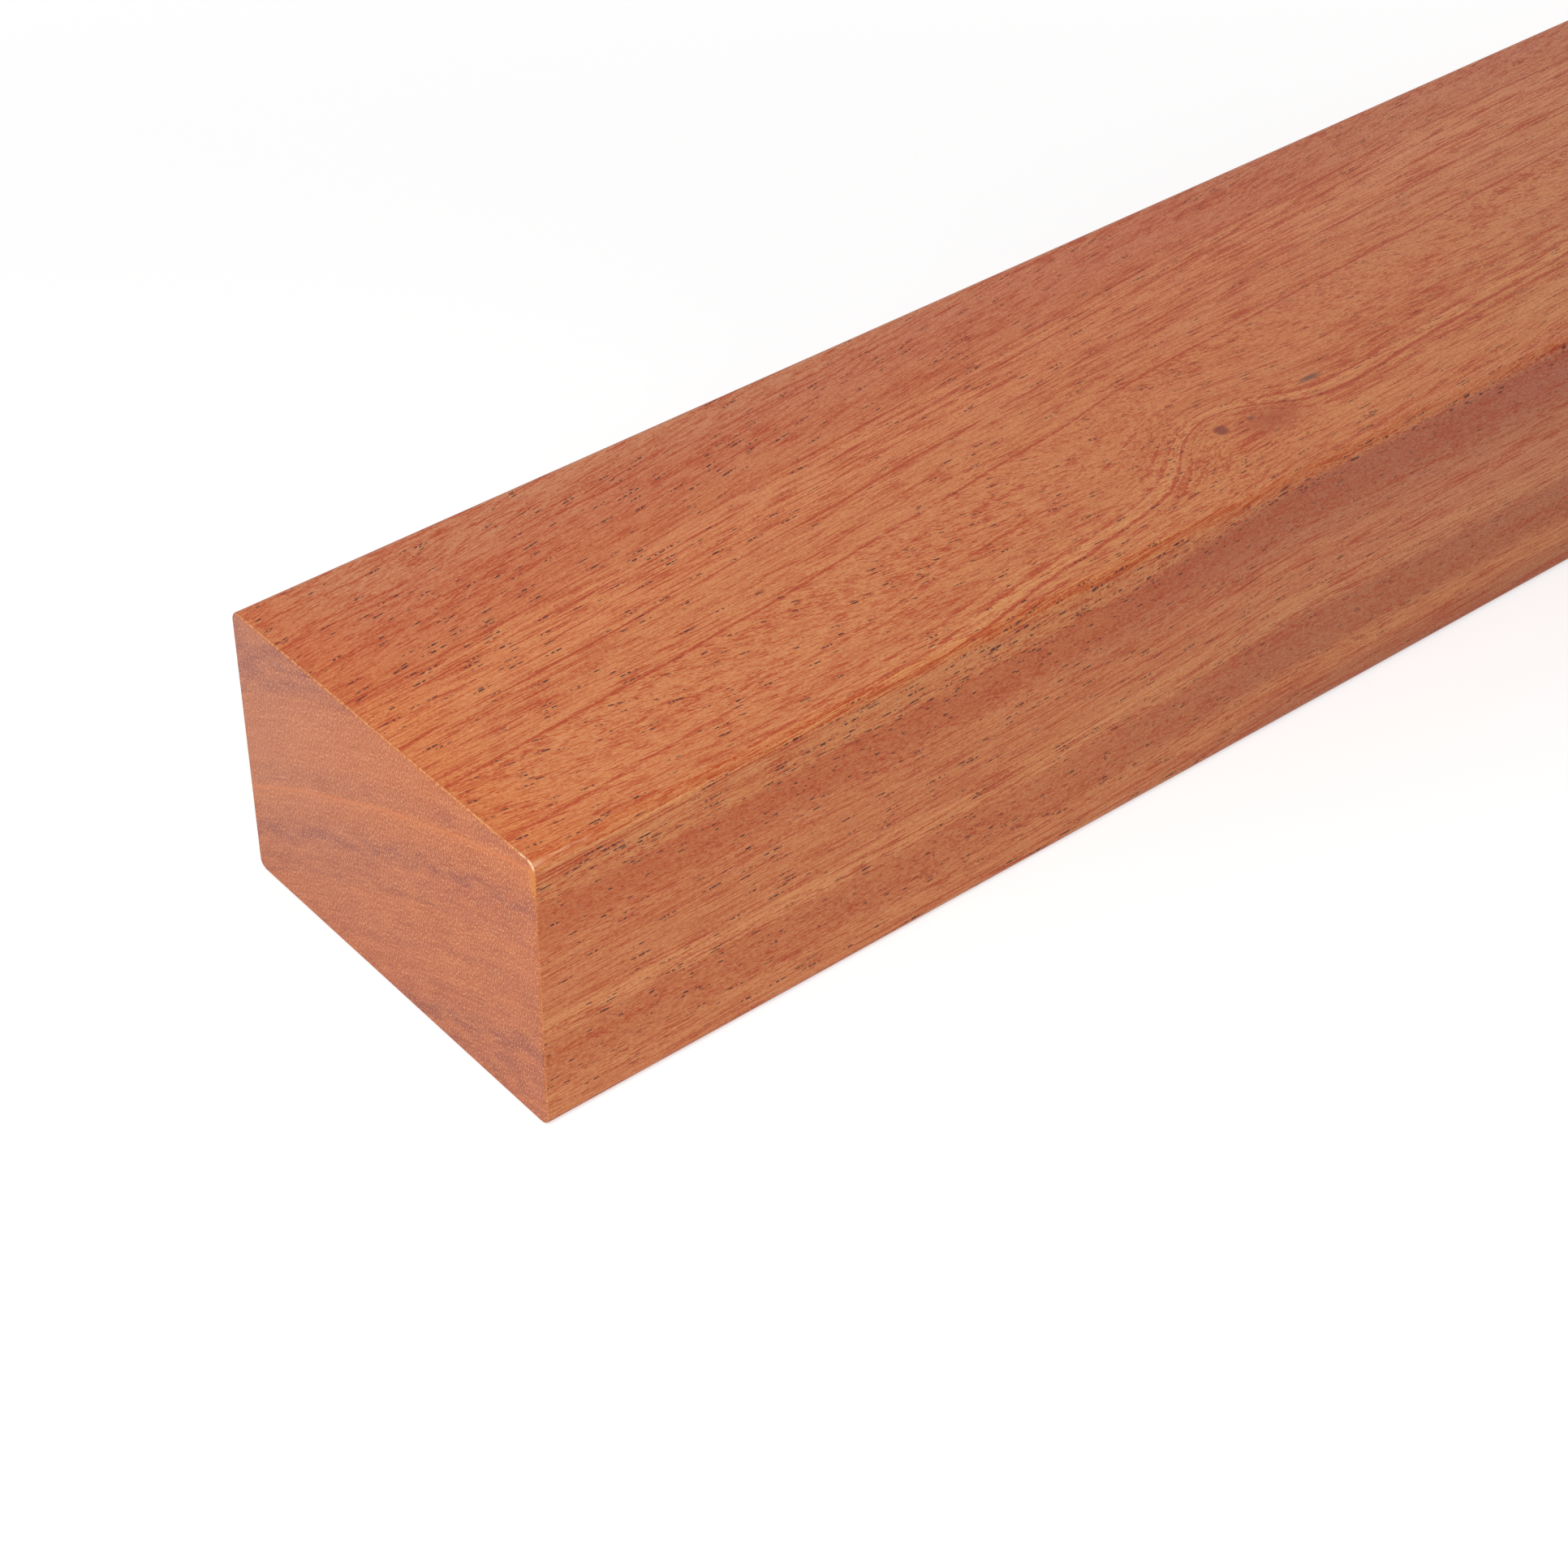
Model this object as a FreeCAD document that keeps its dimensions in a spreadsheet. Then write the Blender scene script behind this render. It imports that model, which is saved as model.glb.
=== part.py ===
import FreeCAD, Part
import os
import Sketcher

# Stair handrail length: one straight piece of planed hardwood with a rectangular section.
# It lies flat on a wide face. The origin is in the middle of the underside, +X runs along
# the rail, +Y across it and +Z up. All sizes are in millimetres.

doc = FreeCAD.newDocument("stair_handrail_length")

# Driving dimensions
sizes = doc.addObject("Spreadsheet::Sheet", "sizes")
driving_dimensions = [
    ("rail_length", 1200.0, "square-cut length as sold"),
    ("rail_width", 67.0, "planed width, lying on the floor"),
    ("rail_height", 44.0, "planed thickness, standing up"),
    ("arris_radius", 1.5, "rounding of the four long edges, planed along with the faces"),
    ("end_easing", 0.4, "sanded rounding all round each cut end"),
]
for row, (alias, value, meaning) in enumerate(driving_dimensions, start=1):
    sizes.set(f"A{row}", alias)
    sizes.set(f"B{row}", str(value))
    sizes.setAlias(f"B{row}", alias)
    sizes.set(f"C{row}", meaning)
doc.recompute()

# The rail: one body, run out from its section
rail = doc.addObject("PartDesign::Body", "handrail")
rail.Label = "handrail"
rail.Placement = FreeCAD.Placement()
cross_plane = next(plane for plane in rail.Origin.OriginFeatures if plane.Role == "YZ_Plane")
along_rail = FreeCAD.Vector(1, 0, 0)
angle_tolerance = 1e-6


def draw_section():
    """The planed rectangle, standing on the Y axis and centred on the Z axis."""
    sketch = rail.newObject("Sketcher::SketchObject", "section")
    sketch.AttachmentSupport = [(cross_plane, "")]
    sketch.MapMode = "FlatFace"
    half_width = sizes.rail_width / 2
    corners = [
        FreeCAD.Vector(-half_width, 0, 0),
        FreeCAD.Vector(half_width, 0, 0),
        FreeCAD.Vector(half_width, sizes.rail_height, 0),
        FreeCAD.Vector(-half_width, sizes.rail_height, 0),
    ]
    underside, back, top, front = (
        sketch.addGeometry(Part.LineSegment(corners[i], corners[(i + 1) % 4])) for i in range(4)
    )
    start, end = 1, 2
    y_axis, z_axis = -1, -2

    def tie(*terms):
        return sketch.addConstraint(Sketcher.Constraint(*terms))

    for line, following in ((underside, back), (back, top), (top, front), (front, underside)):
        tie("Coincident", line, end, following, start)
    tie("Horizontal", top)
    tie("Vertical", back)
    tie("Vertical", front)
    tie("PointOnObject", underside, start, y_axis)
    tie("Symmetric", underside, start, underside, end, z_axis)
    width = tie("DistanceX", underside, start, underside, end, sizes.rail_width)
    height = tie("DistanceY", back, start, back, end, sizes.rail_height)
    sketch.renameConstraint(width, "width")
    sketch.renameConstraint(height, "height")
    sketch.setExpression("Constraints.width", "sizes.rail_width")
    sketch.setExpression("Constraints.height", "sizes.rail_height")
    return sketch


def run_out(section):
    """The section run out to the rail's length, half of it each way from the middle."""
    stick = rail.newObject("PartDesign::Pad", "planed_stick")
    stick.Profile = section
    stick.SideType = "Symmetric"
    stick.setExpression("Length", "sizes.rail_length")
    doc.recompute()
    return stick


def round_long_edges(stick):
    """The four edges that run along the rail."""
    long_edges = [
        f"Edge{number}"
        for number, edge in enumerate(stick.Shape.Edges, start=1)
        if edge.tangentAt(edge.FirstParameter).isParallel(along_rail, angle_tolerance)
    ]
    arrises = rail.newObject("PartDesign::Fillet", "long_arrises")
    arrises.Base = (stick, long_edges)
    arrises.setExpression("Radius", "sizes.arris_radius")
    doc.recompute()
    return arrises


def ease_cut_ends(arrises):
    """The sanded edge all round each of the two cut faces."""
    cut_faces = [
        f"Face{number}"
        for number, face in enumerate(arrises.Shape.Faces, start=1)
        if face.normalAt(0, 0).isParallel(along_rail, angle_tolerance)
    ]
    easing = rail.newObject("PartDesign::Fillet", "eased_ends")
    easing.Base = (arrises, cut_faces)
    easing.setExpression("Radius", "sizes.end_easing")
    doc.recompute()
    return easing


rail.Tip = ease_cut_ends(round_long_edges(run_out(draw_section())))
doc.recompute()

# Check the model before anything is written
for feature in doc.Objects:
    if "Invalid" in feature.State or "Error" in feature.State:
        raise RuntimeError(f"{feature.Label} did not compute: {feature.State}")
if rail.Shape.isNull() or not rail.Shape.isValid() or len(rail.Shape.Solids) != 1:
    raise RuntimeError("the rail is not one valid solid")

os.makedirs("parts", exist_ok=True)
rail.Shape.exportStep(f"parts/{rail.Label}.step")
box = rail.Shape.optimalBoundingBox()
print(f"{rail.Label}: {box.XLength:.3f} x {box.YLength:.3f} x {box.ZLength:.3f} mm,",
      f"volume {rail.Shape.Volume:.1f} mm3, lowest point {box.ZMin:.3f} mm")
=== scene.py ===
import math
import bmesh
import bpy
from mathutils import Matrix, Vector


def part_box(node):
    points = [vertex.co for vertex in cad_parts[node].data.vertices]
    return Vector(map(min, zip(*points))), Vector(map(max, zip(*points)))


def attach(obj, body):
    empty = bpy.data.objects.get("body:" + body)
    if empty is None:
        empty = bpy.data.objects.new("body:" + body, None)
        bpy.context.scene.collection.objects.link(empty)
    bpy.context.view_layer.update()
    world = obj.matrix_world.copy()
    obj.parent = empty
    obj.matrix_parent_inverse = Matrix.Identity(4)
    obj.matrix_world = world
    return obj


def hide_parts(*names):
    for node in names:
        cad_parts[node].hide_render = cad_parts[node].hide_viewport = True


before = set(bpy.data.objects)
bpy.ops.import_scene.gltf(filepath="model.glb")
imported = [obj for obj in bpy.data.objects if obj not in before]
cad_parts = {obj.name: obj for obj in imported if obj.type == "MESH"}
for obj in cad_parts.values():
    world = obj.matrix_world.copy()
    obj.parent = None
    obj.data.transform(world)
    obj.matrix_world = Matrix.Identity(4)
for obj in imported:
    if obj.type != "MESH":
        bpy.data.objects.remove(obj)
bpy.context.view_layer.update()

# The handrail
# One straight stick of reddish hardwood, sawn square, planed on four sides and cut off square at both ends.
# A cutter took the sharpness off the long edges, and sandpaper took it off the cut ends.
MM = 0.001
low, high = (Vector(corner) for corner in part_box("handrail"))
middle = (low + high) / 2
half = (high - low) / 2
edge_round = 1.5 * MM
edge_steps = 8
end_sanding = 0.4 * MM
sanding_steps = 4
sanded_off = Vector((2 * end_sanding, 0, 0))
quarter_turn = math.tau / 4
stick = bmesh.new()
bmesh.ops.create_cube(stick, size=1.0)
bmesh.ops.scale(stick, vec=high - low - sanded_off, verts=stick.verts)
bmesh.ops.translate(stick, vec=middle, verts=stick.verts)
long_edges = [edge for edge in stick.edges if edge.calc_length() > half.x]
bmesh.ops.bevel(stick, geom=long_edges, affect="EDGES", offset=edge_round, segments=edge_steps, profile=0.5,
                material=-1)
cut_ends = [face for face in stick.faces if abs(face.normal.x) > 0.9]
for step in range(sanding_steps):
    before = quarter_turn * step / sanding_steps
    after = quarter_turn * (step + 1) / sanding_steps
    step_in = end_sanding * (math.cos(before) - math.cos(after))
    step_out = end_sanding * (math.sin(after) - math.sin(before))
    bmesh.ops.inset_individual(stick, faces=cut_ends, thickness=step_in, depth=step_out,
                               use_even_offset=True)
timber_mesh = bpy.data.meshes.new("handrail_timber")
stick.to_mesh(timber_mesh)
stick.free()
for face in timber_mesh.polygons:
    face.use_smooth = True
timber = bpy.data.objects.new("handrail_timber", timber_mesh)
bpy.context.scene.collection.objects.link(timber)
flat_faces = timber.modifiers.new("flat_faces", "WEIGHTED_NORMAL")
flat_faces.weight = 100
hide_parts("handrail")
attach(timber, "root")


def paint(code):
    """A colour written as sRGB hex, in the linear values a shader takes."""
    parts = [int(code[i:i + 2], 16) / 255 for i in (1, 3, 5)]
    return tuple(p / 12.92 if p <= 0.04045 else ((p + 0.055) / 1.055) ** 2.4 for p in parts) + (1.0,)


def add(tree, kind, inputs, stops=(), **settings):
    """One node with its settings, colour stops and inputs, an input being a value or an output to link."""
    made = tree.nodes.new("ShaderNode" + kind)
    for name, value in settings.items():
        setattr(made, name, value)
    for extra in stops[2:]:
        made.color_ramp.elements.new(1.0)
    for number, (place, colour) in enumerate(stops):
        made.color_ramp.elements[number].position = place
        made.color_ramp.elements[number].color = colour
    for name, value in inputs.items():
        if isinstance(value, bpy.types.NodeSocket):
            tree.links.new(value, made.inputs[name])
        else:
            made.inputs[name].default_value = value
    return made.outputs


# The wood: a reddish tropical hardwood with interlocked grain, planed, sanded and given a thin coat of oil.
# To the eye that is bands of warm orange and red brown, fine red flecks, dark dashes of open pores and a low
# satin sheen. It is drawn as a solid, cut from a log whose heart lies below and in front of the rail, so that
# the rings run through from face to face. All lengths in it are millimetres, round the log too.
hardwood = bpy.data.materials.new("oiled_hardwood")
hardwood.use_nodes = True
wood = hardwood.node_tree
wood.nodes.clear()
half_length, half_width, half_height = half / MM
to_mm = (1 / MM,) * 3
heart_front = 102.5
heart_below = 208.0
arc_radius = 255.0
spot = add(wood, "TexCoord", {})["Object"]
from_heart = add(wood, "Mapping", {"Vector": spot, "Location": (half_length, heart_front, heart_below),
                                   "Scale": to_mm})[0]
along, heart_y, heart_z = add(wood, "SeparateXYZ", {0: from_heart})
cross_cut = add(wood, "VectorMath", {0: from_heart, 1: (0, 1, 1)}, operation="MULTIPLY")[0]
radius = add(wood, "VectorMath", {0: cross_cut}, operation="LENGTH")["Value"]
turn = add(wood, "Math", {0: heart_y, 1: heart_z}, operation="ARCTAN2")[0]
around = add(wood, "Math", {0: turn, 1: arc_radius}, operation="MULTIPLY")[0]

# The log was not quite straight: its outer rings climb through the stick in a slow wave, the inner ones step
# outward past a knot, and all of them waver a little.
lean_length = 1600.0
wave_length = 300.0
wave_start = 130.0
waver_most = 0.9
lean_turn = add(wood, "Math", {0: along, 1: math.tau / lean_length}, operation="MULTIPLY")[0]
lean_sine = add(wood, "Math", {0: lean_turn}, operation="SINE")[0]
lean_most = add(wood, "MapRange", {"Value": radius, "From Min": 245.0, "From Max": 268.0,
                                   "To Min": 5.6, "To Max": 8.0})[0]
steady = add(wood, "Math", {0: lean_sine, 1: lean_most}, operation="MULTIPLY")[0]
wave_turn = add(wood, "Math", {0: along, 1: math.tau / wave_length, 2: -math.tau * wave_start / wave_length},
                operation="MULTIPLY_ADD")[0]
wave_sine = add(wood, "Math", {0: wave_turn}, operation="SINE")[0]
wave_most = add(wood, "MapRange", {"Value": radius, "From Min": 262.0, "From Max": 268.0,
                                   "To Min": 0.8, "To Max": 0.55})[0]
outer_climb = add(wood, "Math", {0: wave_sine, 1: wave_most, 2: steady}, operation="MULTIPLY_ADD")[0]
step_rise = add(wood, "MapRange", {"Value": along, "From Min": 80.0, "From Max": 140.0},
                interpolation_type="SMOOTHSTEP")[0]
step_most = add(wood, "MapRange", {"Value": radius, "From Min": 234.0, "From Max": 255.0,
                                   "To Min": 2.2, "To Max": 3.0})[0]
inner_slow = add(wood, "Math", {0: lean_sine, 1: 1.7, 2: -0.7}, operation="MULTIPLY_ADD")[0]
inner_climb = add(wood, "Math", {0: step_rise, 1: step_most, 2: inner_slow}, operation="MULTIPLY_ADD")[0]
outward = add(wood, "MapRange", {"Value": radius, "From Min": 256.0, "From Max": 262.0},
              interpolation_type="SMOOTHSTEP")[0]
climb = add(wood, "Mix", {0: outward, 2: inner_climb, 3: outer_climb}, data_type="FLOAT")[0]
slow_spot = add(wood, "VectorMath", {0: from_heart, 1: (1 / 60, 1 / 40, 1 / 40)}, operation="MULTIPLY")[0]
slow = add(wood, "TexNoise", {"Vector": slow_spot, "Scale": 1.0, "Detail": 3.0, "Roughness": 0.45})[0]
waver = add(wood, "Math", {0: slow, 1: 2 * waver_most, 2: -waver_most}, operation="MULTIPLY_ADD")[0]

# A pin knot crosses the rings, where a twig left the log, and pushes them outward around it.
knot_along = 130.3
knot_around = 81.9
knot_length = 12.0
knot_width = 10.0
knot_a = add(wood, "Math", {0: along, 1: knot_along}, operation="SUBTRACT")[0]
knot_t = add(wood, "Math", {0: around, 1: knot_around}, operation="SUBTRACT")[0]
knot_reach = add(wood, "Math", {0: knot_a, 1: 1 / knot_length}, operation="MULTIPLY")[0]
knot_side = add(wood, "Math", {0: knot_t, 1: 1 / knot_width}, operation="MULTIPLY")[0]
knot_pair = add(wood, "CombineXYZ", {0: knot_reach, 1: knot_side})[0]
knot_square = add(wood, "VectorMath", {0: knot_pair, 1: knot_pair}, operation="DOT_PRODUCT")["Value"]
knot_fall = add(wood, "Math", {0: math.exp(-1), 1: knot_square}, operation="POWER")[0]
knot_push = add(wood, "MapRange", {"Value": radius, "From Min": 232.0, "From Max": 264.0,
                                   "To Min": 0.4, "To Max": 3.2})[0]
bulge = add(wood, "Math", {0: knot_fall, 1: knot_push}, operation="MULTIPLY")[0]
straight = add(wood, "Math", {0: radius, 1: climb}, operation="SUBTRACT")[0]
settled = add(wood, "Math", {0: straight, 1: waver}, operation="SUBTRACT")[0]
ring = add(wood, "Math", {0: settled, 1: bulge}, operation="SUBTRACT")[0]

# Dark and light growth bands, by distance from the heart of the log.
heart_side, bark_side = 210.0, 295.0


def by_ring(marks):
    """Colour stops from marks that are given by their ring, each a hex colour or a share from 0 to 1."""
    stops = []
    for ring_at, mark in marks:
        colour = paint(mark) if isinstance(mark, str) else (mark,) * 3 + (1.0,)
        stops.append(((ring_at - heart_side) / (bark_side - heart_side), colour))
    return stops


bands = (
    (210.0, "#BE6D42"), (217.6, "#BE6D42"), (219.6, "#CC804E"), (225.0, "#CE8450"), (227.0, "#C47646"),
    (233.2, "#C27444"), (234.0, "#D18955"), (236.4, "#D48C56"), (238.5, "#C97D4B"), (248.0, "#C97C4B"),
    (250.5, "#BD6B3D"), (254.9, "#BB683A"), (255.7, "#CA804C"), (259.9, "#C8804C"),
    (260.1, "#D08A54"), (260.5, "#D08A54"), (260.7, "#C97F4C"), (261.2, "#C97F4C"),
    (262.0, "#C37746"), (263.0, "#CA7E4C"), (270.0, "#CA7D4B"), (272.0, "#CF7F4C"), (274.6, "#CE7F4C"),
    (275.4, "#C4703F"), (280.0, "#C26E41"), (283.0, "#C4784A"), (295.0, "#C07246"),
)
ring_share = add(wood, "MapRange", {"Value": ring, "From Min": heart_side, "From Max": bark_side})[0]
band = add(wood, "ValToRGB", {0: ring_share}, by_ring(bands))[0]

# Beyond the knot the dark bands are stained a purple brown, which fades out along the stick. Toward the
# back of the top the colour turns paler and greyer. Round the knot the top is a little redder. From the knot
# on, a faint painted pink sheen lies on the upper front, standing in for the reflection of the white room.
stains = (
    (210.0, 1.0), (220.5, 1.0), (222.0, 0.0), (224.5, 0.0), (227.0, 0.9), (232.8, 0.9), (234.0, 0.5),
    (235.5, 0.4), (237.0, 0.1), (243.5, 0.1), (247.0, 0.9), (254.9, 1.0), (255.7, 0.3), (258.0, 0.0),
    (295.0, 0.0),
)
stain_band = add(wood, "ValToRGB", {0: ring_share}, by_ring(stains))[0]
stain_spot = add(wood, "VectorMath", {0: from_heart, 1: (1 / 30, 1 / 30, 1 / 9)}, operation="MULTIPLY")[0]
stain_noise = add(wood, "TexNoise", {"Vector": stain_spot, "Scale": 1.0, "Detail": 3.0, "Roughness": 0.6})[0]
stain_edge = add(wood, "Math", {0: stain_noise, 1: 60.0, 2: along}, operation="MULTIPLY_ADD")[0]
stain_start = add(wood, "MapRange", {"Value": stain_edge, "From Min": 110.0, "From Max": 165.0,
                                     "To Max": 0.27}, interpolation_type="SMOOTHSTEP")[0]
stain_end = add(wood, "MapRange", {"Value": along, "From Min": 380.0, "From Max": 240.0})[0]
stain_run = add(wood, "Math", {0: stain_start, 1: stain_end}, operation="MULTIPLY")[0]
stain = add(wood, "Math", {0: stain_run, 1: stain_band}, operation="MULTIPLY")[0]
stained = add(wood, "Mix", {0: stain, 6: band, 7: paint("#7C3F34")}, data_type="RGBA")[2]
# Paler and greyer toward the back of the top and high on the back face.
back_top_pale = add(wood, "MapRange", {"Value": radius, "From Min": 271.0, "From Max": 286.0, "To Max": 0.08})[0]
greyed = add(wood, "Mix", {0: back_top_pale, 6: stained, 7: paint("#C8AAA0")}, data_type="RGBA")[2]
red_start = add(wood, "MapRange", {"Value": along, "From Min": 85.0, "From Max": 140.0, "To Max": 0.1})[0]
red_end = add(wood, "MapRange", {"Value": along, "From Min": 210.0, "From Max": 165.0})[0]
red_side = add(wood, "MapRange", {"Value": radius, "From Min": 259.0, "From Max": 262.0})[0]
red_run = add(wood, "Math", {0: red_start, 1: red_end}, operation="MULTIPLY")[0]
red = add(wood, "Math", {0: red_run, 1: red_side}, operation="MULTIPLY")[0]
reddened = add(wood, "Mix", {0: red, 6: greyed, 7: paint("#C04418")}, data_type="RGBA")[2]
# Painted sheen: a faint pink on the upper front from the knot on, for the reflection of the white room.
front_sheen_start = add(wood, "MapRange", {"Value": along, "From Min": 85.0, "From Max": 180.0, "To Max": 0.04})[0]
front_sheen_side = add(wood, "MapRange", {"Value": heart_y, "From Min": 72.0, "From Max": 69.5})[0]
front_sheen_up = add(wood, "MapRange", {"Value": heart_z, "From Min": 218.0, "From Max": 232.0})[0]
front_sheen_run = add(wood, "Math", {0: front_sheen_start, 1: front_sheen_side}, operation="MULTIPLY")[0]
front_sheen = add(wood, "Math", {0: front_sheen_run, 1: front_sheen_up}, operation="MULTIPLY")[0]
front_sheened = add(wood, "Mix", {0: front_sheen, 6: reddened, 7: paint("#F0A8C0")}, data_type="RGBA")[2]

# Beside the cut ends the oil soaked deeper into the broad faces and left an orange strip.
soak_reach = 14.0
from_middle = add(wood, "Mapping", {"Vector": spot, "Location": (0, 0, -half_height), "Scale": to_mm})[0]
off_middle = add(wood, "VectorMath", {0: from_middle}, operation="ABSOLUTE")[0]
middle_x, middle_y, middle_z = add(wood, "SeparateXYZ", {0: off_middle})
end_gap = add(wood, "Math", {0: half_length, 1: middle_x}, operation="SUBTRACT")[0]
soaked = add(wood, "MapRange", {"Value": end_gap, "From Min": soak_reach, "From Max": 0.3, "To Max": 0.45},
             interpolation_type="SMOOTHSTEP")[0]
on_broad = add(wood, "MapRange", {"Value": middle_z, "From Min": 20.6, "From Max": 21.8})[0]
soaked_broad = add(wood, "Math", {0: soaked, 1: on_broad}, operation="MULTIPLY")[0]
soaked_part = add(wood, "Math", {0: soaked_broad, 1: slow}, operation="MULTIPLY")[0]
warm = add(wood, "Mix", {0: soaked_part, 6: front_sheened, 7: paint("#D0651A")}, data_type="RGBA")[2]

# Fibres: they lie along the stick, but each layer of rings leans its own way, as interlocked grain does.
# The more they lean, the shorter a plane cuts them. The leans are in degrees.
steepest = 30.0
layer_thick = 1.6
leans = (
    (222.0, 0.0), (229.7, 12.0), (235.0, 0.0), (241.0, -2.0), (244.0, 0.0), (252.0, 14.0), (258.0, 0.0),
    (262.0, -4.0), (264.0, -10.0), (266.4, -15.0), (267.2, 1.0), (272.0, 2.0), (277.0, 9.0), (284.0, 8.0),
)
lean_shares = [(ring_at, 0.5 + lean / steepest / 2) for ring_at, lean in leans]
layer = add(wood, "Math", {0: ring, 1: layer_thick}, operation="SNAP")[0]
layer_share = add(wood, "MapRange", {"Value": layer, "From Min": heart_side, "From Max": bark_side})[0]
lean_share = add(wood, "ValToRGB", {0: layer_share}, by_ring(lean_shares))[0]
fibre_lean = add(wood, "MapRange", {"Value": lean_share, "To Min": math.radians(steepest),
                                    "To Max": math.radians(-steepest)})[0]
unrolled = add(wood, "CombineXYZ", {0: along, 1: around, 2: ring})[0]
fibre = add(wood, "VectorRotate", {"Vector": unrolled, "Axis": (0, 0, 1), "Angle": fibre_lean})[0]
steepness = add(wood, "Math", {0: fibre_lean}, operation="ABSOLUTE")[0]
shortness = add(wood, "Math", {0: steepness, 1: 0.45, 2: 0.11}, operation="MULTIPLY_ADD")[0]

# Growth lines: thin lines along the rings, where the red flecks crowd. A few are strong.
line_apart = 1.15
strong_lines = (
    (281.1, 0.7), (275.1, 0.8), (273.8, 0.6), (270.6, 0.8), (267.1, 1.0), (261.3, 0.4), (260.6, 0.6),
    (259.9, 1.0), (259.4, 0.5), (255.4, 0.4), (233.7, 0.4),
)
patch_spot = add(wood, "VectorMath", {0: unrolled, 1: (1 / 22, 1 / 5, 1 / 1.6)}, operation="MULTIPLY")[0]
patch = add(wood, "TexNoise", {"Vector": patch_spot, "Scale": 1.0, "Detail": 2.0, "Roughness": 0.5})[0]
line_at = add(wood, "Math", {0: ring, 1: 1 / line_apart}, operation="MULTIPLY")[0]
lines = add(wood, "TexVoronoi", {"W": line_at, "Scale": 1.0}, voronoi_dimensions="1D", feature="F1")
line_near = add(wood, "MapRange", {"Value": lines["Distance"], "From Min": 0.12, "From Max": 0.02},
                interpolation_type="SMOOTHSTEP")[0]
line_luck = add(wood, "SeparateColor", {0: lines["Color"]})[0]
line_strength = add(wood, "MapRange", {"Value": line_luck, "From Min": 0.3, "To Max": 0.5})[0]
line_any = add(wood, "Math", {0: line_near, 1: line_strength}, operation="MULTIPLY")[0]
for line_ring, strength in strong_lines:
    line_off = add(wood, "Math", {0: ring, 1: line_ring}, operation="SUBTRACT")[0]
    line_gap = add(wood, "Math", {0: line_off}, operation="ABSOLUTE")[0]
    line_here = add(wood, "MapRange", {"Value": line_gap, "From Min": 0.13, "From Max": 0.03,
                                       "To Max": strength}, interpolation_type="SMOOTHSTEP")[0]
    line_any = add(wood, "Math", {0: line_any, 1: line_here}, operation="MAXIMUM")[0]

# Red flecks: dark-red dashes, where gum fills the vessels between the paler fibres. Fine strokes gather in
# clumps, and the clumps in patches. Strokes and grit are drawn coarser than real fibres, so that they show.
stroke_wide, stroke_deep = 0.17, 0.14
clump_wide, clump_deep = 0.9, 0.5
grit_long, grit_wide = 0.5, 0.16
clump_size = add(wood, "CombineXYZ", {0: shortness, 1: 1 / clump_wide, 2: 1 / clump_deep})[0]
clump_spot = add(wood, "VectorMath", {0: fibre, 1: clump_size}, operation="MULTIPLY")[0]
clump = add(wood, "TexNoise", {"Vector": clump_spot, "Scale": 1.0, "Detail": 2.0, "Roughness": 0.5})[0]
stroke_size = add(wood, "CombineXYZ", {0: shortness, 1: 1 / stroke_wide, 2: 1 / stroke_deep})[0]
stroke_spot = add(wood, "VectorMath", {0: fibre, 1: stroke_size}, operation="MULTIPLY")[0]
stroke = add(wood, "TexNoise", {"Vector": stroke_spot, "Scale": 1.0, "Detail": 1.0, "Roughness": 0.5})[0]
fleck_one = add(wood, "Math", {0: clump, 1: 0.6, 2: stroke}, operation="MULTIPLY_ADD")[0]
fleck_two = add(wood, "Math", {0: patch, 1: 0.35, 2: fleck_one}, operation="MULTIPLY_ADD")[0]
fleck_three = add(wood, "Math", {0: line_any, 1: 0.3, 2: fleck_two}, operation="MULTIPLY_ADD")[0]
grit_spot = add(wood, "VectorMath", {0: fibre, 1: (1 / grit_long, 1 / grit_wide, 1 / grit_wide)},
                operation="MULTIPLY")[0]
grit = add(wood, "TexNoise", {"Vector": grit_spot, "Scale": 1.0, "Detail": 1.0, "Roughness": 0.6})[0]
fleck_sum = add(wood, "Math", {0: grit, 1: 0.5, 2: fleck_three}, operation="MULTIPLY_ADD")[0]
fleck = add(wood, "MapRange", {"Value": fleck_sum, "From Min": 1.2, "From Max": 1.46, "To Max": 0.9},
            interpolation_type="SMOOTHSTEP")[0]
flecked = add(wood, "Mix", {0: fleck, 6: warm, 7: paint("#A83C14")}, data_type="RGBA")[2]

# Fine lines along the fibres, paler and darker by turns.
streak_long, streak_wide, streak_deep = 9.0, 0.36, 0.2
streak_spot = add(wood, "VectorMath", {0: fibre, 1: (1 / streak_long, 1 / streak_wide, 1 / streak_deep)},
                  operation="MULTIPLY")[0]
streak_noise = add(wood, "TexNoise", {"Vector": streak_spot, "Scale": 1.0, "Detail": 1.0,
                                      "Roughness": 0.6})[0]
streak = add(wood, "MapRange", {"Value": streak_noise, "From Min": 0.46, "From Max": 0.7, "To Max": 0.5},
             interpolation_type="SMOOTHSTEP")[0]
lined = add(wood, "Mix", {0: streak, 6: flecked, 7: paint("#AE481E")}, data_type="RGBA")[2]

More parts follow.
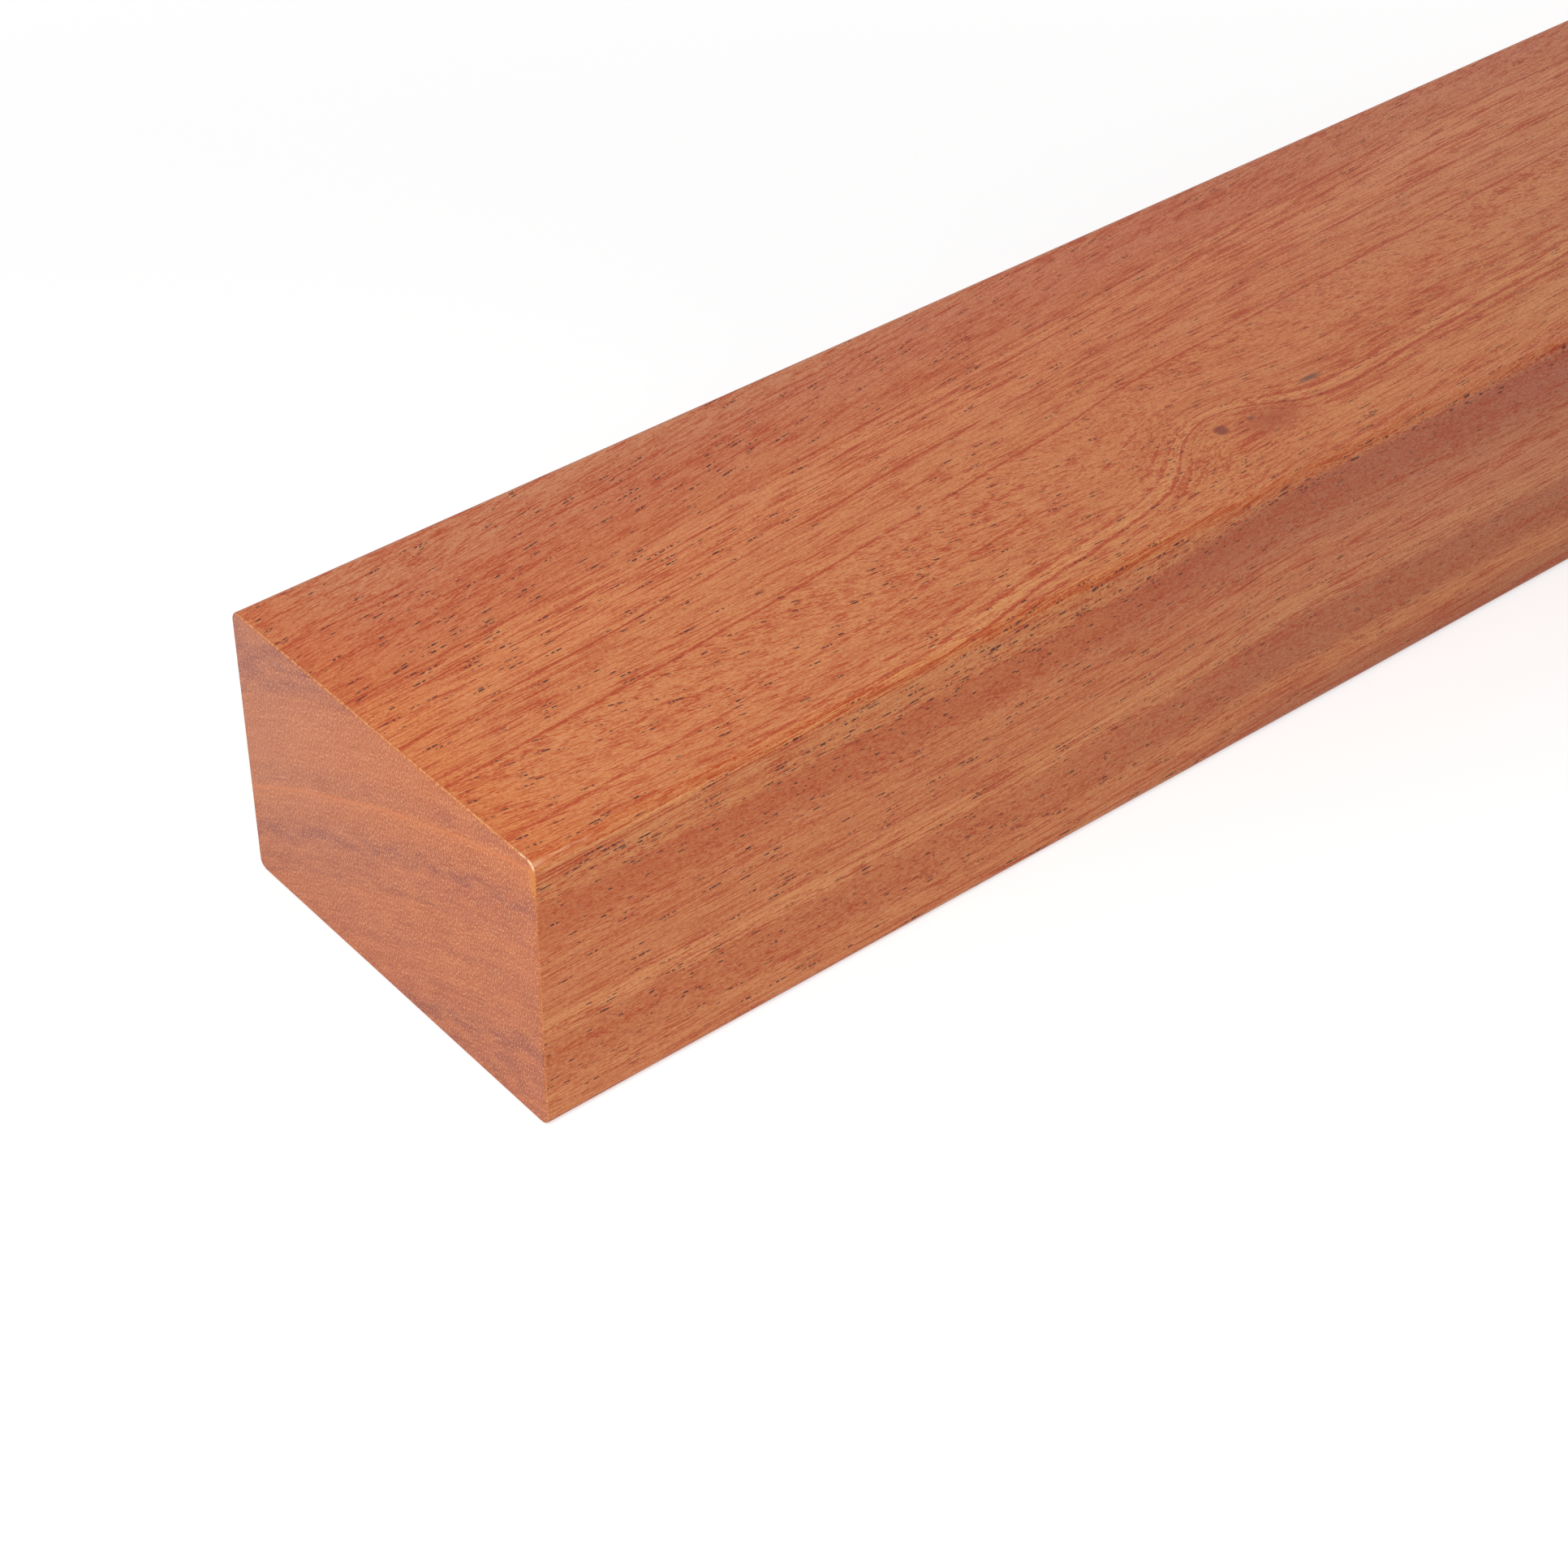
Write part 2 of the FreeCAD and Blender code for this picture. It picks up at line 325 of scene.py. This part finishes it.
# Open pores: vessels cut lengthwise show as dark dashes in short rows, crowded in some rings, and in long
# close rows in one ring, just outside the dark band. Away from the near end the oil has half filled them.
pore_habits = (
    (214.0, 0.6), (226.0, 0.7), (233.0, 0.8), (236.0, 0.9), (237.5, 0.6), (248.0, 0.65), (250.0, 0.7),
    (255.0, 0.7), (256.0, 1.0), (260.0, 1.0), (261.5, 0.6), (266.5, 0.6), (267.2, 0.4), (271.5, 0.4),
    (273.0, 0.85), (280.0, 0.85), (282.0, 0.5), (290.0, 0.4),
)
row_habits = ((252.0, 0.0), (254.0, 0.2), (255.2, 1.0), (257.4, 1.0), (259.4, 0.4), (260.4, 0.0))
crowd_spot = add(wood, "VectorMath", {0: unrolled, 1: (1 / 14, 1 / 4, 1 / 2.2)}, operation="MULTIPLY")[0]
crowd = add(wood, "TexNoise", {"Vector": crowd_spot, "Scale": 1.0, "Detail": 1.0})[0]
crowding = add(wood, "MapRange", {"Value": crowd, "From Min": 0.25, "From Max": 0.6})[0]
row_side = add(wood, "MapRange", {"Value": radius, "From Min": 261.0, "From Max": 260.0})[0]
row_start = add(wood, "MapRange", {"Value": along, "From Min": 10.0, "From Max": 45.0, "To Min": 0.45})[0]
row_crowding = add(wood, "Math", {0: row_side, 1: row_start}, operation="MULTIPLY")[0]
pore_depth = add(wood, "MapRange", {"Value": along, "From Min": 70.0, "From Max": 180.0, "To Min": 0.9,
                                    "To Max": 0.5})[0]
row_depth = 0.85
dash_shift = 91.0
pored = lined
hollow = 0.0
for habits, crowds, row_long, apart, reach, dash_gap, depth in (
        (pore_habits, crowding, 6.0, 0.52, 0.265, 0.44, pore_depth),
        (row_habits, row_crowding, 10.0, 0.46, 0.27, 0.42, row_depth)):
    habit = add(wood, "ValToRGB", {0: ring_share}, by_ring(habits))[0]
    pore_spot = add(wood, "VectorMath", {0: fibre, 1: (1 / row_long, 1 / apart, 1 / apart)},
                    operation="MULTIPLY")[0]
    pores = add(wood, "TexVoronoi", {"Vector": pore_spot, "Scale": 1.0}, voronoi_dimensions="3D",
                feature="F1")
    pore_luck, pore_shift, pore_size = add(wood, "SeparateColor", {0: pores["Color"]})
    pore_edge = add(wood, "Math", {0: pore_size, 1: 0.14, 2: reach - 0.06}, operation="MULTIPLY_ADD")[0]
    pore_gap = add(wood, "Math", {0: pore_edge, 1: pores["Distance"]}, operation="SUBTRACT")[0]
    pore_near = add(wood, "MapRange", {"Value": pore_gap, "From Max": 0.08},
                    interpolation_type="SMOOTHSTEP")[0]
    pore_chance = add(wood, "Math", {0: crowds, 1: habit}, operation="MULTIPLY")[0]
    pore_there = add(wood, "Math", {0: pore_luck, 1: pore_chance}, operation="LESS_THAN")[0]
    dash_at = add(wood, "Math", {0: pore_shift, 1: dash_shift, 2: along}, operation="MULTIPLY_ADD")[0]
    dash_noise = add(wood, "TexNoise", {"W": dash_at, "Scale": 1.2, "Detail": 1.0}, noise_dimensions="1D")[0]
    dash = add(wood, "MapRange", {"Value": dash_noise, "From Min": dash_gap, "From Max": dash_gap + 0.08,
                                  "To Max": depth})[0]
    pore_full = add(wood, "Math", {0: pore_near, 1: pore_there}, operation="MULTIPLY")[0]
    pore = add(wood, "Math", {0: pore_full, 1: dash}, operation="MULTIPLY")[0]
    pored = add(wood, "Mix", {0: pore, 6: pored, 7: paint("#3C2022")}, data_type="RGBA")[2]
    hollow = add(wood, "Math", {0: hollow, 1: pore}, operation="MAXIMUM")[0]

# The fibres themselves, a fine grain that turns paler and yellower, or deeper and redder. Real ones are some
# tenth of this width, and are drawn coarser so that they show.
hair_long, hair_wide = 0.6, 0.17
hair_spot = add(wood, "VectorMath", {0: fibre, 1: (1 / hair_long, 1 / hair_wide, 1 / hair_wide)},
                operation="MULTIPLY")[0]
hair = add(wood, "TexNoise", {"Vector": hair_spot, "Scale": 1.0, "Detail": 1.0, "Roughness": 0.6})[0]
hair_depth = add(wood, "MapRange", {"Value": hair, "From Min": 0.25, "From Max": 0.75, "To Min": 1.2,
                                    "To Max": 0.8})[0]
haired = add(wood, "Gamma", {0: pored, 1: hair_depth})[0]

# The knot itself: a small dark eye, a red cloud beyond it, and a grey scar farther along. Each mark has its
# place along and round from the knot, its length and width, its solid core, its strength and its colour.
knot_marks = (
    (-7.6, 2.2, 9.0, 4.8, 0.0, 0.62, "#9C3A1A"),
    (0.0, 0.0, 1.5, 1.35, 0.45, 0.85, "#7C3420"),
    (-5.4, 0.4, 1.0, 0.6, 0.3, 0.6, "#6A3C34"),
    (-19.3, -1.6, 3.2, 0.7, 0.1, 0.8, "#5A4640"),
)
eye_spot = add(wood, "CombineXYZ", {0: knot_a, 1: knot_t})[0]
knot_top = add(wood, "MapRange", {"Value": radius, "From Min": 250.0, "From Max": 258.0})[0]
worked = haired
for shift_a, shift_t, length, width, core, share, tone in knot_marks:
    mark_shift = add(wood, "VectorMath", {0: eye_spot, 1: (shift_a, shift_t, 0)}, operation="ADD")[0]
    mark_round = add(wood, "VectorMath", {0: mark_shift, 1: (1 / length, 1 / width, 0)},
                     operation="MULTIPLY")[0]
    mark_far = add(wood, "VectorMath", {0: mark_round}, operation="LENGTH")["Value"]
    mark = add(wood, "MapRange", {"Value": mark_far, "From Min": 1.0, "From Max": core, "To Max": share},
               interpolation_type="SMOOTHSTEP")[0]
    mark_part = add(wood, "Math", {0: mark, 1: knot_top}, operation="MULTIPLY")[0]
    worked = add(wood, "Mix", {0: mark_part, 6: worked, 7: paint(tone)}, data_type="RGBA")[2]

# The rounded long edges: sanded across the fibres, they took up more oil and show thin redder streaks.
out_sum = add(wood, "Math", {0: middle_y, 1: middle_z}, operation="ADD")[0]
edge_gap = add(wood, "Math", {0: half_width + half_height, 1: out_sum}, operation="SUBTRACT")[0]
edge_wet = add(wood, "MapRange", {"Value": edge_gap, "From Min": 1.25, "From Max": 0.95, "To Max": 0.45},
               interpolation_type="SMOOTHSTEP")[0]
edge_part = add(wood, "Math", {0: edge_wet, 1: streak_noise}, operation="MULTIPLY")[0]
oiled = add(wood, "Mix", {0: edge_part, 6: worked, 7: paint("#9C4526")}, data_type="RGBA")[2]

# The cut end: its layers run from pale orange to purple brown. Rays seen end on are pale dashes that point
# to the heart, drawn coarser than real ones so that they show. On the upper back part a pale grey sheen is
# painted, standing in for the reflection of the white room.
end_layers = (
    (210.0, 0.5), (222.7, 0.55), (228.1, 0.75), (229.7, 0.58), (231.7, 0.95), (233.1, 0.75), (234.1, 0.42),
    (236.3, 0.5), (238.0, 0.35), (241.3, 0.46), (247.5, 0.28), (248.2, 0.32), (248.5, 0.65), (249.3, 0.48),
    (253.3, 0.52), (254.0, 0.95), (255.5, 0.72), (256.4, 0.48), (258.9, 0.22), (260.4, 0.04), (261.0, 0.08),
    (261.4, 0.38), (262.9, 0.48), (265.4, 0.14), (270.4, 0.18), (274.0, 0.26), (274.8, 0.6), (276.8, 0.72),
    (279.2, 0.9), (282.4, 0.6),
)
ray_wide, ray_long = 0.22, 0.36
seam_ring = 260.7
end_layer = add(wood, "ValToRGB", {0: ring_share}, by_ring(end_layers))[0]
layer_spot = add(wood, "VectorMath", {0: unrolled, 1: (1 / 400, 1 / 18, 1 / 0.7)}, operation="MULTIPLY")[0]
layer_noise = add(wood, "TexNoise", {"Vector": layer_spot, "Scale": 1.0, "Detail": 3.0,
                                     "Roughness": 0.65})[0]
end_patch = add(wood, "MapRange", {"Value": patch, "From Min": 0.35, "From Max": 0.65, "To Min": 0.5,
                                   "To Max": 1.5})[0]
end_patchy = add(wood, "Math", {0: end_layer, 1: end_patch}, operation="MULTIPLY")[0]
end_sum = add(wood, "Math", {0: layer_noise, 1: 0.4, 2: end_patchy}, operation="MULTIPLY_ADD")[0]
end_dark = add(wood, "MapRange", {"Value": end_sum, "From Min": 0.04, "From Max": 1.32})[0]
end_tone = add(wood, "Mix", {0: end_dark, 6: paint("#D2743D"), 7: paint("#A05240")}, data_type="RGBA")[2]
ray_spot = add(wood, "VectorMath", {0: unrolled, 1: (1 / 50, 1 / ray_wide, 1 / ray_long)},
               operation="MULTIPLY")[0]
ray_noise = add(wood, "TexNoise", {"Vector": ray_spot, "Scale": 1.0, "Detail": 1.0, "Roughness": 0.6})[0]
ray = add(wood, "Math", {0: layer_noise, 1: -0.15, 2: ray_noise}, operation="MULTIPLY_ADD")[0]
ray_gap = add(wood, "MapRange", {"Value": ray, "From Min": 0.42, "From Max": 0.24, "To Max": 0.8},
              interpolation_type="SMOOTHSTEP")[0]
ray_pale = add(wood, "MapRange", {"Value": ray, "From Min": 0.44, "From Max": 0.6, "To Max": 0.8},
               interpolation_type="SMOOTHSTEP")[0]
end_gapped = add(wood, "Mix", {0: ray_gap, 6: end_tone, 7: paint("#A25028")}, data_type="RGBA")[2]
end_speckled = add(wood, "Mix", {0: ray_pale, 6: end_gapped, 7: paint("#E4A270")}, data_type="RGBA")[2]
end_seam_off = add(wood, "Math", {0: ring, 1: seam_ring}, operation="SUBTRACT")[0]
end_seam_gap = add(wood, "Math", {0: end_seam_off}, operation="ABSOLUTE")[0]
end_seam = add(wood, "MapRange", {"Value": end_seam_gap, "From Min": 0.35, "From Max": 0.05, "To Max": 0.5},
               interpolation_type="SMOOTHSTEP")[0]
end_grain = add(wood, "Mix", {0: end_seam, 6: end_speckled, 7: paint("#DE8044")}, data_type="RGBA")[2]
# Painted sheen: a pale grey on the upper back of the cut end, for the reflection of the white room.
end_sheen_back = add(wood, "MapRange", {"Value": heart_y, "From Min": 92.0, "From Max": 136.0,
                                   "To Max": 0.105})[0]
end_sheen_up = add(wood, "MapRange", {"Value": heart_z, "From Min": 208.0, "From Max": 228.0})[0]
end_sheen = add(wood, "Math", {0: end_sheen_back, 1: end_sheen_up}, operation="MULTIPLY")[0]
end_sheened = add(wood, "Mix", {0: end_sheen, 6: end_grain, 7: paint("#C8AAA0")}, data_type="RGBA")[2]
on_end = add(wood, "MapRange", {"Value": end_gap, "From Min": 0.25, "From Max": 0.05})[0]
grain = add(wood, "Mix", {0: on_end, 6: oiled, 7: end_sheened}, data_type="RGBA")[2]

# The sanded edge round each cut end: a thin pale line, broken where the sandpaper missed. Under it and a
# little beyond, the rounded strip is darkened brown, most along the top and bottom edges: partly the sanded
# edge's own deeper colour, partly painted shade that holds back the light the rounded strip catches.
rim_in = add(wood, "MapRange", {"Value": end_gap, "From Min": 0.03, "From Max": 0.12})[0]
rim_out = add(wood, "MapRange", {"Value": end_gap, "From Min": 0.34, "From Max": 0.2})[0]
rim_both = add(wood, "Math", {0: rim_in, 1: rim_out}, operation="MULTIPLY")[0]
rim_spot = add(wood, "VectorMath", {0: from_heart, 1: (1 / 5, 1 / 0.6, 1 / 0.6)}, operation="MULTIPLY")[0]
rim_noise = add(wood, "TexNoise", {"Vector": rim_spot, "Scale": 1.0, "Detail": 3.0, "Roughness": 0.7})[0]
rim_worn = add(wood, "MapRange", {"Value": rim_noise, "From Min": 0.35, "From Max": 0.65, "To Max": 0.9})[0]
# Painted shade, with the sanded edge's own deeper colour: a brown over the rounded strip at each cut end.
rim_base = add(wood, "MapRange", {"Value": end_gap, "From Min": 0.45, "From Max": 0.3, "To Max": 0.6})[0]
rim_high = add(wood, "MapRange", {"Value": middle_z, "From Min": 12.0, "From Max": 21.5, "To Min": 0.3})[0]
rim_low = add(wood, "Math", {0: rim_base, 1: rim_high}, operation="MULTIPLY")[0]
rim_brown_and_shade = add(wood, "Math", {0: rim_in, 1: rim_low}, operation="MULTIPLY")[0]
rimmed = add(wood, "Mix", {0: rim_brown_and_shade, 6: grain, 7: paint("#A4562A")}, data_type="RGBA")[2]
rim_top = add(wood, "Math", {0: rim_both, 1: rim_high}, operation="MULTIPLY")[0]
rim = add(wood, "Math", {0: rim_top, 1: rim_worn}, operation="MULTIPLY")[0]
edged = add(wood, "Mix", {0: rim, 6: rimmed, 7: paint("#E4A470")}, data_type="RGBA")[2]

# The near top corner in front was knocked: pale along the two edges that meet there, rubbed orange below.
corner = Vector((-half_length, -half_width, half_height))
edge_thin = add(wood, "MapRange", {"Value": edge_gap, "From Min": 0.95, "From Max": 0.89, "To Max": 0.6})[0]
thin = add(wood, "Math", {0: rim_both, 1: edge_thin}, operation="MAXIMUM")[0]
thin_worn = add(wood, "Math", {0: thin, 1: rim_worn}, operation="MULTIPLY")[0]
for off_corner, reach, where, share, tone in (
        ((0.0, 0.0, -2.8), (0.5, 1.8, 3.6), rim_noise, 1.2, "#DC8A3C"),
        ((0.0, 0.5, 0.0), (12.0, 4.5, 2.0), thin_worn, 1.5, "#EBC29C")):
    knock_spot = corner + Vector(off_corner)
    knock_at = add(wood, "VectorMath", {0: from_middle, 1: -knock_spot}, operation="ADD")[0]
    knock_round = add(wood, "VectorMath", {0: knock_at, 1: [1 / size for size in reach]},
                      operation="MULTIPLY")[0]
    knock_far = add(wood, "VectorMath", {0: knock_round}, operation="LENGTH")["Value"]
    knock = add(wood, "MapRange", {"Value": knock_far, "From Min": 1.0, "From Max": 0.2, "To Max": share},
                interpolation_type="SMOOTHSTEP")[0]
    knock_part = add(wood, "Math", {0: knock, 1: where}, operation="MULTIPLY")[0]
    edged = add(wood, "Mix", {0: knock_part, 6: edged, 7: paint(tone)}, data_type="RGBA")[2]

# The feel of it: the pores are open and the fibres stand a little apart. A thin coat of oil gives a satin
# sheen, half as strong as varnish gives, and duller in the pores and where the wood drank more of it.
pore_hollow = 0.03 * MM
fibre_share = 0.3
coat_bright, coat_drunk, pore_dull = 0.41, 0.49, 0.7
oil_ior = 1.5
thin_coat = 0.25
fibre_height = add(wood, "Math", {0: hair, 1: fibre_share}, operation="MULTIPLY")[0]
height = add(wood, "Math", {0: fibre_height, 1: hollow}, operation="SUBTRACT")[0]
relief = add(wood, "Bump", {"Height": height, "Distance": pore_hollow})[0]
coat_dull = add(wood, "MapRange", {"Value": patch, "From Min": 0.3, "From Max": 0.7, "To Min": coat_bright,
                                   "To Max": coat_drunk})[0]
dull = add(wood, "Mix", {0: hollow, 2: coat_dull, 3: pore_dull}, data_type="FLOAT")[0]
surface = add(wood, "BsdfPrincipled", {"Base Color": edged, "Roughness": dull, "Normal": relief,
                                       "IOR": oil_ior, "Specular IOR Level": thin_coat})[0]
add(wood, "OutputMaterial", {"Surface": surface})
timber_mesh.materials.append(hardwood)

# The floor
# A sheet of smooth matt white card under the rail, wide enough to be out of sight at its edges. The camera
# sees it lifted to paper white, less in the pool of light under each lamp, so that only the soft shadow along
# the rail is left on it.
board_half = 4.0
board_drop = 0.1 * MM
near_pool_at = (-0.65, -0.1, 0.0)
far_pool_at = (0.65, 0.1, 0.0)
board = bmesh.new()
bmesh.ops.create_grid(board, x_segments=1, y_segments=1, size=board_half)
bmesh.ops.translate(board, vec=(0, 0, low.z - board_drop), verts=board.verts)
floor_mesh = bpy.data.meshes.new("white_board")
board.to_mesh(floor_mesh)
board.free()
floor = bpy.data.objects.new("white_board", floor_mesh)
bpy.context.scene.collection.objects.link(floor)
white_card = bpy.data.materials.new("white_card")
white_card.use_nodes = True
card = white_card.node_tree
card.nodes.clear()
rays = add(card, "LightPath", {})
seen_bare = add(card, "Math", {0: rays["Is Camera Ray"], 1: rays["Is Glossy Ray"]}, operation="MAXIMUM")[0]
seen = add(card, "Math", {0: seen_bare, 1: rays["Is Transmission Ray"]}, operation="MAXIMUM")[0]
matt = add(card, "BsdfDiffuse", {"Color": paint("#E6E6E6")})[0]
dim_matt = add(card, "BsdfDiffuse", {"Color": paint("#BCBCBC")})[0]
card_spot = add(card, "TexCoord", {})["Object"]
near_pool = add(card, "VectorMath", {0: card_spot, 1: near_pool_at}, operation="DISTANCE")["Value"]
far_pool = add(card, "VectorMath", {0: card_spot, 1: far_pool_at}, operation="DISTANCE")["Value"]
off_pool = add(card, "Math", {0: near_pool, 1: far_pool}, operation="MINIMUM")[0]
lift_most = add(card, "MapRange", {"Value": off_pool, "From Min": 0.28, "From Max": 0.62, "To Min": 0.6,
                                   "To Max": 0.72}, interpolation_type="SMOOTHSTEP")[0]
lift = add(card, "Emission", {"Color": paint("#FFFFFF"), "Strength": lift_most})[0]
lifted = add(card, "AddShader", {0: dim_matt, 1: lift})[0]
shown = add(card, "MixShader", {0: seen, 1: matt, 2: lifted})[0]
add(card, "OutputMaterial", {"Surface": shown})
floor_mesh.materials.append(white_card)

# The light
# A white room gives an even light from all sides. A soft lamp hangs near each end of the rail, and a pale
# panel stands low behind it, which the oiled top mirrors as a faint sheen toward the back.
room_light = 0.56
paper_white = 1.0
room = bpy.data.worlds.new("white_room")
bpy.context.scene.world = room
room.use_nodes = True
air = room.node_tree
air.nodes.clear()
sight = add(air, "LightPath", {})
direct_bare = add(air, "Math", {0: sight["Is Camera Ray"], 1: sight["Is Glossy Ray"]},
                  operation="MAXIMUM")[0]
direct = add(air, "Math", {0: direct_bare, 1: sight["Is Transmission Ray"]}, operation="MAXIMUM")[0]
level = add(air, "MapRange", {"Value": direct, "To Min": room_light, "To Max": paper_white})[0]
glow = add(air, "Background", {"Color": paint("#FFFFFF"), "Strength": level})[0]
add(air, "OutputWorld", {"Surface": glow})


def hang(name, hung_at, aimed_at, size, power):
    """A square soft lamp that the camera does not see."""
    lamp_data = bpy.data.lights.new(name, "AREA")
    lamp_data.size = size
    lamp_data.energy = power
    lamp = bpy.data.objects.new(name, lamp_data)
    lamp.location = hung_at
    lamp.rotation_euler = (Vector(aimed_at) - Vector(hung_at)).to_track_quat("-Z", "Y").to_euler()
    lamp.visible_camera = False
    bpy.context.scene.collection.objects.link(lamp)


hang("near_lamp", (-0.782, -0.187, 0.337), (-0.58, -0.014, 0.02), size=0.2, power=1.13)
hang("far_lamp", (0.782, 0.187, 0.337), (0.58, 0.014, 0.02), size=0.2, power=1.13)
hang("back_panel", (0.155, 0.5, 0.344), (-0.45, 0.0, 0.044), size=0.4, power=0.14)

# The camera
# It looks down on the near end from the front, through a short telephoto lens.
camera_data = bpy.data.cameras.new("camera")
camera_data.sensor_width = 36.0
camera_data.lens = 83.69
camera_data.clip_start = 0.01
camera = bpy.data.objects.new("camera", camera_data)
camera.location = (-0.7880, -0.3105, 0.3275)
aim = Vector((-0.56105, -0.0335, 0.03655))
camera.rotation_euler = (aim - camera.location).to_track_quat("-Z", "Y").to_euler()
bpy.context.scene.collection.objects.link(camera)
bpy.context.scene.camera = camera
bpy.context.scene.view_settings.view_transform = "Standard"
